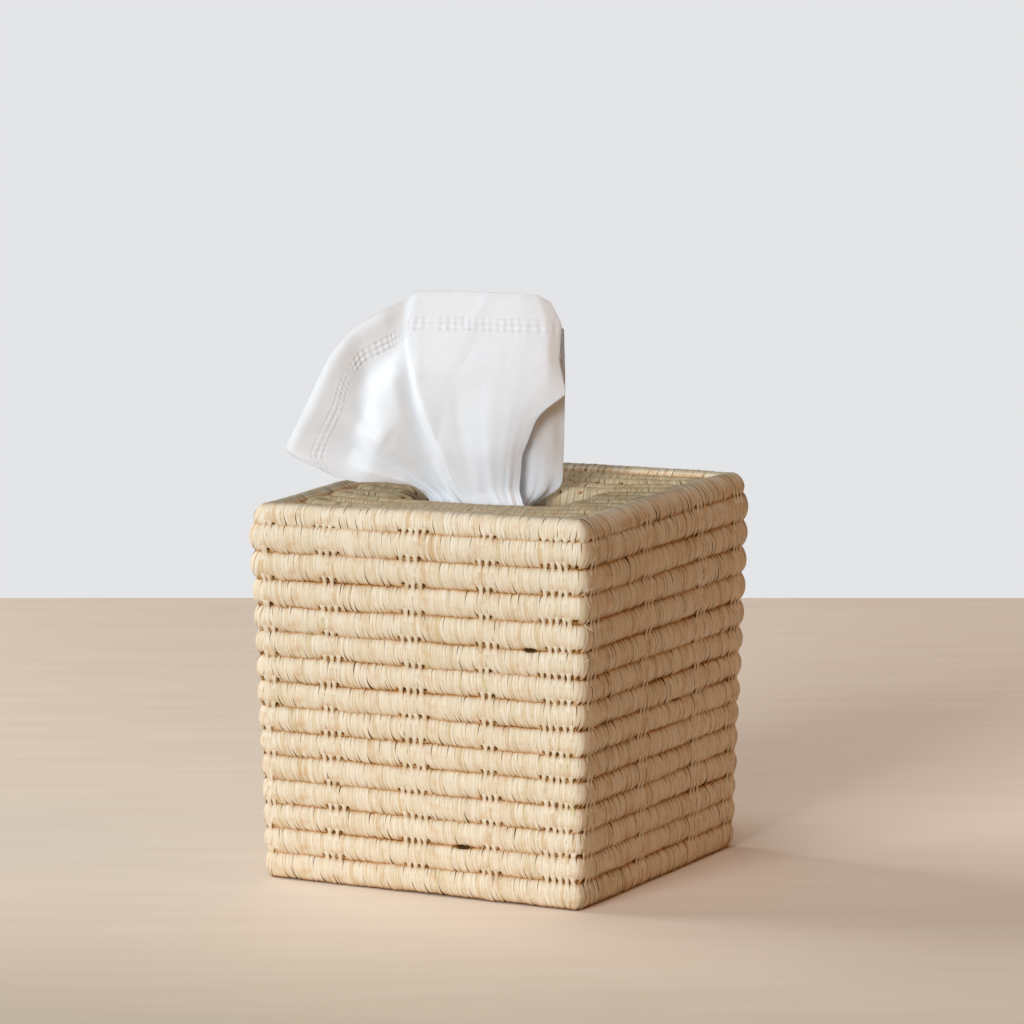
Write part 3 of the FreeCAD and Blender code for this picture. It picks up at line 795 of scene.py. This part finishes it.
def buildTop():
    rim, mouth, end = topLook["turnAtRim"], topLook["turnAtOpening"], topLook["looseEnd"]
    left = [
        (-end, rim, 0), (rim, -rim, 1), (-rim, rim, 2), (rim, -rim, 3),
        (-rim, -mouth, 4), (-mouth, -rim, 5), (-rim, -mouth, 6), (-mouth, -rim, 7),
        (-rim, rim, 8), (rim, -rim, 9), (-rim, rim, 10), (rim, -end, 11),
    ]
    right = [(end, mouth, 4), (mouth, rim, 5), (rim, mouth, 6), (mouth, end, 7)]
    for name, stops in (("top_rows", left), ("top_rows_right", right)):
        rng = draws(topLook["seeds"][name])
        total, path, openSide = zigzag(stops)
        ring = np.linspace(0, total, max(int(total / 4), 8))
        rise = smoothNoise(rng, ring, *topLook["wave"])
        rise += panelRise(*path(ring)[:2])
        heightAt = lambda length: (rowLevel + np.interp(length, ring, rise), 0.0)

        def seams(length):
            side, free = openSide(length), topLook["freeSeam"]
            return np.where(side < -0.5, -free, -seamAngle), np.where(side > 0.5, free, seamAngle)

        bundle = makeBundle(path, total, heightAt, math.pi / 2, seams)
        places = np.arange(6, total - 6, topLook["pitStep"])
        places = places + rng.uniform(-topLook["pitWander"], topLook["pitWander"], len(places))
        angles = [math.radians(rng.normal(*topLook["pitAngle"])) for _ in places]
        pits = [(place, angle, *topLook["pit"]) for place, angle in zip(places, angles)]
        strands = wrapped(rng, bundle, topAngles, topLook["lean"], None, pits, topLook["tint"])
        coverPiece(name, [strands, coreOf(bundle)], shadedTopStraw)

    # painted shade: a flat dark sheet under the rows round the opening, seen through their gaps
    half = topLook["shadeSheet"]
    more, side = topLook["shadeSheetMargins"]
    opening = (cover["openingLength"] / 2 + more, cover["openingWidth"] / 2 + side)
    ring = [(-1, -1), (1, -1), (1, 1), (-1, 1)]
    level = rowLevel - topLook["shadeSheetDepth"]
    points = [(x * long, y * wide, level) for long, wide in ((half, half), opening) for x, y in ring]
    quads = [(k, (k + 1) % 4, 4 + (k + 1) % 4, 4 + k) for k in range(4)]
    strand = np.tile([0.5, 0.0, 0.6], (8, 1))
    shadeSheet = makePiece("top_backing", points, quads, strawShade, smooth=False, strand=strand, fibre=points)
    ownPiece(shadeSheet, "woven_cover")


buildTop()
print("top laid")


# the drawn tissue: one sheet, with its lower half still folded on the pack

paperLook = {
    "tones": [(0.3, (247, 250, 255)), (0.75, (243, 247, 255))],
    "tintCells": 90.0,
    "flatSide": 210,
    "bandFrom": 10,  # the embossed band lies this far inside the free edges
    "bandTo": 16,
    "dotTurns": (1.15, 1.3),  # radians per mm along the band and across it
    "dotHeight": 1.7,
    "bandPatches": (0.0, 0.09, 0.0),
    "bandGaps": (0.34, 5.0),
    "creaseCells": 240.0,
    "crepe": (0.6, 2.6, 0.0),
    "crepeHeight": 0.3,
    "surface": {
        "Roughness": 0.9,
        "Specular IOR Level": 0.05,
        "Subsurface Weight": 0.9,
        "Subsurface Radius": (1.0, 1.0, 1.0),
        "Subsurface Scale": 0.0018,
    },
    "bump": (0.45, 0.35),
    "turn": 28,  # the sheet's broad side faces this way
}
riseLook = {"scale": 1.012, "start": 0.11, "toward": 0.154}  # from heights in the picture to real ones


def paperMaterial():
    n = Nodes(bpy.data.materials.new("tissuePaper"))
    place = n.own("sheetMap")
    depth, along, _ = n.split(place)
    inside = n.maths("SUBTRACT", depth, paperLook["bandFrom"] - 0.5, True)
    before = n.maths("SUBTRACT", paperLook["bandTo"] + 0.5, depth, True)
    alongTurns, acrossTurns = paperLook["dotTurns"]
    onward, sideways = n.maths("MULTIPLY", along, alongTurns), n.maths("MULTIPLY", depth, acrossTurns)
    first = n.maths("SINE", n.maths("ADD", onward, sideways))
    second = n.maths("SINE", n.maths("SUBTRACT", onward, sideways))
    patches = n.noise(n.stretched(place, paperLook["bandPatches"]), 1.0, 2.0)
    patchy = n.over(patches, *paperLook["bandGaps"])
    band = n.maths("MULTIPLY", patchy, n.maths("MULTIPLY", inside, before))
    dots = n.maths("MULTIPLY", n.maths("MULTIPLY", first, second), band)
    coord = n.add("ShaderNodeTexCoord").outputs["Object"]
    crease = n.noise(coord, paperLook["creaseCells"], 5.0, 0.65)
    crepe = n.noise(n.stretched(place, paperLook["crepe"]), 1.0, 4.0, 0.7)
    height = n.maths("ADD", crease, n.maths("MULTIPLY", crepe, paperLook["crepeHeight"]))
    height = n.maths("ADD", n.maths("MULTIPLY", dots, paperLook["dotHeight"]), height)
    tint = n.ramp(n.noise(coord, paperLook["tintCells"], 3.0), paperLook["tones"])
    n.surface({"Base Color": tint, **paperLook["surface"]})
    n.bump(height, *paperLook["bump"])
    return n.owner


# (across, rise, toward): as the camera sees the sheet, from the opening's middle and the cover's top
def seenPoint(across, rise, toward):
    turn = math.radians(paperLook["turn"])
    height = coverTop + rise * riseLook["scale"] + riseLook["start"] + riseLook["toward"] * toward
    x = across * math.cos(turn) + toward * math.sin(turn)
    y = across * math.sin(turn) - toward * math.cos(turn)
    return perPoint(x, y, height)


# fold lines of the front sheet, from its right free edge to its lower left one, each from the root upwards
frontFolds = [
    [(6.7, -1, 2), (7.9, 13.6, 5), (9.9, 17.7, 5.5), (13.1, 26.6, 6), (16.4, 30.6, 6), (25.4, 37.0, 3),
     (24.4, 41, 2.5), (22.4, 50, 2), (23.6, 64.5, 0), (19, 73.2, 1)],
    [(4, -1, 3), (5, 13, 6.5), (8, 24, 7.5), (14, 34, 6.8), (18, 41, 6), (18, 50, 5.5),
     (18, 64, 4), (14, 75.6, 3.5)],
    [(0, -1, 4.5), (1, 14, 8.5), (3, 30, 9.5), (7, 45, 8), (8, 60, 6.5), (7, 76.4, 5)],
    [(-5, -1, 5), (-6, 13, 9.5), (-6, 30, 10.5), (-4, 45, 9.5), (-5, 60, 7.5), (-5, 76.8, 6)],
    [(-12, -2, 5), (-15, 14, 8.5), (-18, 30, 9.5), (-19, 46, 11), (-20, 60, 9), (-20, 77.3, 7)],
    [(-18.3, -2.5, 5), (-24.7, 13.6, 10), (-31.6, 29.8, 12), (-36, 47.5, 12), (-37.4, 59.6, 10.5),
     (-34, 77.2, 8.5)],
    [(-19.5, -2.5, 1.5), (-26, 13.6, 6), (-33, 29.8, 8.5), (-37, 47.5, 10.3), (-38.6, 59.6, 10),
     (-38, 73.8, 8.5)],
    [(-22, -2, 0.5), (-30, 12, 6), (-39, 28, 12), (-43, 42, 13.8), (-43, 53, 9.3),
     (-47.4, 67, 14), (-48, 68.6, 13.4)],
    [(-23, -2, 1), (-34, 10, 7), (-46, 22, 13.5), (-50, 34, 12), (-53, 44, 8.6),
     (-58.4, 60.8, 15.6), (-59, 62.6, 14.8)],
    [(-24, -1.5, 1.5), (-36, 9.5, 8), (-48, 18.5, 14), (-55, 29, 9.6), (-66.6, 49.4, 17.6),
     (-68, 52, 16.8)],
    [(-25, -0.7, 2), (-37, 10.5, 9), (-48, 18.6, 14.8), (-56, 25, 10.4), (-73, 34.6, 18.2),
     (-75.5, 36, 17.4)],
    [(-27, -1.5, -1), (-38, 6, 3.5), (-50, 12, 8.4), (-58, 17, 8), (-78.5, 24.4, 17.4), (-81, 25, 16.8)],
    [(-28, -2, 1), (-39, 3, 7), (-52, 7, 12.6), (-61, 9.5, 11.4), (-83, 15, 17.4), (-85.5, 15.3, 16.8)],
    [(-30.3, -2.5, -1), (-35.2, 1.2, 4), (-46, 2.5, 9), (-56.9, 2.4, 11.5), (-65, 4.4, 13), (-73, 8.3, 15),
     (-81, 12, 16)],
]
backFolds = [
    [(-20, -2, -4), (-24, 20, -6), (-26, 44, -4), (-30, 66, 2)],
    [(-6, -2, -6), (-8, 20, -9), (-8, 44, -10), (-8, 70, -3)],
    [(6, -2, -3), (7, 20, 3.6), (10, 44, -1.5), (8, 71, -1.5)],
    [(13, -1.5, -2.5), (14, 20, 1.2), (16, 44, -2.8), (16, 68, -2)],
    [(18, -1, -3.6), (19.4, 18, -2.2), (20.6, 44, -4), (20.5, 66, -2)],
    [(23.9, 0.5, -6), (24.6, 20, -6.5), (25, 44, -5.5), (24.4, 62.5, -2)],
]
rootLook = {"pack": (13, 1.2, 109), "slit": (17, 2.4, 127)}  # half length, half width and level


# the fold line's lower end: through the opening and the film's slit down to the pack
def rootOf(share, sign):
    turn = math.radians(paperLook["turn"])
    found = []
    for reach, half, level in rootLook.values():
        x, y = reach * (1 - 2 * share), -sign * half
        toward = x * math.sin(turn) - y * math.cos(turn)
        height = level - coverTop - riseLook["start"] - riseLook["toward"] * toward
        rise = height / riseLook["scale"]
        found.append((x * math.cos(turn) + y * math.sin(turn), rise, toward))
    return found


def evenly(line, count):
    line = np.array(line, dtype=float)
    steps = np.r_[0, np.cumsum(np.linalg.norm(np.diff(line, axis=0), axis=1))]
    places = np.linspace(0, steps[-1], count)
    return perPoint(*(np.interp(places, steps, column) for column in line.T))


def softened(grid, rounds, axis):
    for _ in range(rounds):
        inner = np.moveaxis(grid, axis, 0)
        inner = np.concatenate([inner[:1], (inner[:-2] + 2 * inner[1:-1] + inner[2:]) / 4, inner[-1:]])
        grid = np.moveaxis(inner, 0, axis)
    return grid


frontSheet = {"seed": 31, "folds": frontFolds, "sign": 1, "rows": 110, "rounds": 3}
backSheet = {"seed": 47, "folds": backFolds, "sign": -1, "rows": 80, "rounds": 4}
# fine folds over the fold lines, in mm and radians
fineLook = {
    "columnStep": 0.75,
    "ripples": [(5.1, 0.6, 1.0), (8.7, 2, 0.6)],  # turns from one fold line to the next, start and share
    "rippleSize": 0.4,
    "pleatLeast": 0.14,
    "pleatMore": 0.6,
    "pleatAt": 0.28,  # shares of the way from the root to the free edge
    "pleatSpan": 0.16,
    "creases": 26,
    "creaseAngle": (0.9, 2.5),
    "creaseSize": (-0.55, 0.55),
    "creaseRun": (5, 18),
    "creaseWidth": 1.3,
}


# a smooth sheet over fold lines, rows from root to free edge
def foldedSheet(seed, folds, sign, rows, rounds):
    rng = draws(seed)
    spread = np.linspace(0, 1, len(folds))
    lines = np.array([evenly(rootOf(share, sign) + fold, rows) for share, fold in zip(spread, folds)])
    gaps = np.linalg.norm(np.diff(lines[:, rows * 2 // 3], axis=0), axis=1)
    columns = [0.0]
    for number, gap in enumerate(gaps):
        count = max(int(gap / fineLook["columnStep"]), 4)
        columns += list(number + np.arange(1, count + 1) / count)
    columns = np.array(columns)
    low = np.minimum(columns.astype(int), len(folds) - 2)
    share = (columns - low)[:, None, None]
    grid = lines[low] * (1 - share) + lines[low + 1] * share
    grid = softened(softened(grid, rounds, 0), rounds, 1)
    across, rise, toward = np.moveaxis(grid, -1, 0)
    up = np.linspace(0, 1, rows)[None, :]
    ripple = sum(size * np.sin(columns * turns + start) for turns, start, size in fineLook["ripples"])
    near = np.clip(1 - np.abs(up - fineLook["pleatAt"]) / fineLook["pleatSpan"], 0, 1)
    pleats = np.clip(up / 0.2, 0, 1) * (fineLook["pleatLeast"] + fineLook["pleatMore"] * near)
    toward = toward + fineLook["rippleSize"] * ripple[:, None] * pleats * np.clip((1 - up) / 0.5, 0, 1)
    for _ in range(fineLook["creases"]):
        middle = rng.integers(0, len(columns)), rng.integers(rows // 3, rows)
        angle, size, run = (rng.uniform(*fineLook[key]) for key in ("creaseAngle", "creaseSize", "creaseRun"))
        u, v = across - across[middle], rise - rise[middle]
        along = u * math.cos(angle) + v * math.sin(angle)
        beside = v * math.cos(angle) - u * math.sin(angle)
        ridge = np.exp(-np.sqrt((beside / fineLook["creaseWidth"]) ** 2 + 0.15))
        toward = toward + size * ridge * np.exp(-((along / run) ** 2))
    points = seenPoint(across, rise, toward)
    fromEdge = np.linalg.norm(np.diff(points, axis=1), axis=-1)
    depth = np.cumsum(fromEdge[:, ::-1], axis=1)[:, ::-1]
    depth = np.concatenate([depth, np.zeros((len(columns), 1))], axis=1)
    width = np.r_[0, np.cumsum(np.linalg.norm(np.diff(points[:, -1], axis=0), axis=1))]
    return points, gridQuads(len(columns), rows), perPoint(depth, width[:, None], up)


lowerHalf = {"reach": 49.0, "under": 0.35, "over": 0.9, "points": (40, 60), "wave": 0.12, "fromEdge": 40}


# the half that still lies folded in two on the pack
def foldedHalf():
    reach, under, over = (lowerHalf[key] for key in ("reach", "under", "over"))
    line = [(-reach, under), (reach - 1, under), (reach, 0.6), (reach - 1, over), (-reach, over)]
    line = evenly([(y, z, 0) for y, z in line], lowerHalf["points"][1])
    x = np.linspace(-reach, reach, lowerHalf["points"][0])
    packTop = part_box("folded_tissues")[1].z / mm
    wave = lowerHalf["wave"] * np.sin(x / 7)[:, None] * np.cos(line[:, 0] / 9)[None, :]
    points = perPoint(x[:, None], line[None, :, 0], packTop + line[None, :, 1] + wave)
    return points, gridQuads(len(x), len(line)), perPoint(lowerHalf["fromEdge"], x[:, None], wave)


def buildTissue():
    points, quads, sheetMap = joinParts([foldedSheet(**frontSheet), foldedSheet(**backSheet), foldedHalf()])
    tissue = makePiece("drawn_tissue", points, quads, paperMaterial(), sheetMap=sheetMap)
    ownPiece(tissue, "raised_tissue")


buildTissue()
print("tissue drawn")


# the refill inside

refillLook = {
    "refill_carton": {
        "material": "cartonBoard",
        "stretch": (900, 260, 900),
        "detail": (4.0, 0.55),
        "tones": [(0.35, (238, 236, 230)), (0.7, (228, 225, 217))],
        "surface": {"Roughness": 0.55},
        "bump": (0.3, 0.08),
    },
    "slit_film": {
        "material": "slitFilm",
        "stretch": (60, 220, 60),
        "detail": (3.0, 0.55),
        "tones": [(0.3, (240, 243, 246)), (0.8, (226, 231, 236))],
        "surface": {"Roughness": 0.22, "Alpha": 0.5},
        "bump": (0.4, 0.3),
    },
    "folded_tissues": {
        "material": "tissuePack",
        "stretch": (18, 18, 2600),
        "detail": (2.0, 0.7),
        "tones": [(0.3, (250, 250, 252)), (0.7, (222, 222, 226))],
        "surface": {"Roughness": 0.9},
        "bump": (0.5, 0.25),
    },
}


# board, film or paper with a fine grain along one direction
def refillMaterial(look):
    n = Nodes(bpy.data.materials.new(look["material"]))
    coord = n.add("ShaderNodeTexCoord").outputs["Object"]
    grain = n.noise(n.stretched(coord, look["stretch"]), 1.0, *look["detail"])
    n.surface({"Base Color": n.ramp(grain, look["tones"]), **look["surface"]})
    n.bump(grain, *look["bump"])
    return n.owner


for node, look in refillLook.items():
    shown = bpy.data.objects[node]
    shown.data.materials.clear()
    shown.data.materials.append(refillMaterial(look))
print("refill dressed")


# camera, lights and the surface it stands on

cameraSetting = {
    "azimuth": 27.42,
    "elevation": 8.758,
    "distance": 2.3684,
    "right": 0.0039,
    "height": 0.1407,
    "lens": 210.94,
    "sensor": 36,
    "clip": (0.05, 20),
}


# from the object outwards; azimuth 0 is in front of the -Y face, 90 beside the +X face
def away(azimuth, elevation):
    a, e = math.radians(azimuth), math.radians(elevation)
    return Vector((math.sin(a) * math.cos(e), -math.cos(a) * math.cos(e), math.sin(e)))


# puts a camera or lamp into the scene, looking back along a direction
def lookingBack(name, data, place, outward):
    thing = bpy.data.objects.new(name, data)
    thing.location = place
    thing.rotation_mode = "QUATERNION"
    thing.rotation_quaternion = (-outward).to_track_quat("-Z", "Y")
    bpy.context.scene.collection.objects.link(thing)
    return thing


def placeCamera(setting):
    azimuth = math.radians(setting["azimuth"])
    back = away(setting["azimuth"], setting["elevation"])
    right = Vector((math.cos(azimuth), math.sin(azimuth), 0))
    data = bpy.data.cameras.new("camera")
    data.lens = setting["lens"]
    data.sensor_width = setting["sensor"]
    data.clip_start, data.clip_end = setting["clip"]
    aside = Vector((0, 0, setting["height"])) + right * setting["right"]
    bpy.context.scene.camera = lookingBack("camera", data, aside + back * setting["distance"], back)


# azimuth and elevation in degrees, distance and width in metres, power in watts, colour
lampSetting = {
    "windowLight": (-4, 17, 4.0, 1.6, 134, (0.87, 0.93, 1.0)),
    "leftLight": (-85, 30, 2.0, 1.2, 27, (0.96, 0.97, 1.0)),
    "ceilingLight": (0, 89, 2.2, 2.4, 9, (0.95, 0.97, 1.0)),
    "cameraFill": (12, 35, 3.0, 1.6, 15, (0.87, 0.94, 1.0)),
    "rightFill": (108, 28, 2.0, 1.4, 8, (1.0, 0.47, 0.13)),
}
lampAim = Vector((0, 0, 0.1))


# square lamp that faces the object
def softLamp(name, azimuth, elevation, distance, width, power, colour):
    outward = away(azimuth, elevation)
    data = bpy.data.lights.new(name, "AREA")
    data.size = width
    data.energy = power
    data.color = colour
    lookingBack(name, data, lampAim + outward * distance, outward)


placeCamera(cameraSetting)
for name, setting in lampSetting.items():
    softLamp(name, *setting)


roomLook = {"light": (0.038, 0.029, 0.021), "wall": (228, 229, 231)}
tableLook = {
    "half": 630.0,
    "grain": (9, 70, 1),
    "tones": [(0.3, (248, 228, 209)), (0.7, (252, 235, 217))],
    "shade": (188, 191, 178),
    "near": (-0.5, -0.05, 0.9),  # metres from and to, and the painted shade's share at the first
    "left": (-0.15, 0.3, 0.32),
    "roughness": 0.7,
    "below": 0.05,
}


# world light, with a plain pale wall colour for the camera, and the table
def paleSurroundings():
    room = Nodes(bpy.data.worlds.new("room"), "Background")
    bpy.context.scene.world = room.owner
    path = room.add("ShaderNodeLightPath").outputs
    shown = room.maths("MAXIMUM", path["Is Camera Ray"], path["Is Transmission Ray"])
    room.surface({"Color": room.blend(shown, roomLook["light"], linear(*roomLook["wall"]))})

    table = Nodes(bpy.data.materials.new("table"))
    coord = table.add("ShaderNodeTexCoord").outputs["Object"]
    grain = table.noise(table.stretched(coord, tableLook["grain"]), 1.0, 4.0)
    tint = table.ramp(grain, tableLook["tones"])
    # painted shade: the table darkens towards the camera and towards the left
    across, toward, _ = table.split(coord)
    near, left = table.fading(toward, *tableLook["near"]), table.fading(across, *tableLook["left"])
    shaded = table.tinted(table.maths("ADD", near, left), tint, tableLook["shade"])
    table.surface({"Base Color": shaded, "Roughness": tableLook["roughness"]})
    half = tableLook["half"]
    corners = [(-half, -half, 0), (half, -half, 0), (half, half, 0), (-half, half, 0)]
    floor = makePiece("table", corners, [(0, 1, 2, 3)], table.owner, smooth=False)
    floor.location.z = -tableLook["below"] * mm
    floor.rotation_euler.z = math.radians(cameraSetting["azimuth"])


paleSurroundings()
bpy.context.scene.view_settings.view_transform = "Standard"
print("camera and lights placed")
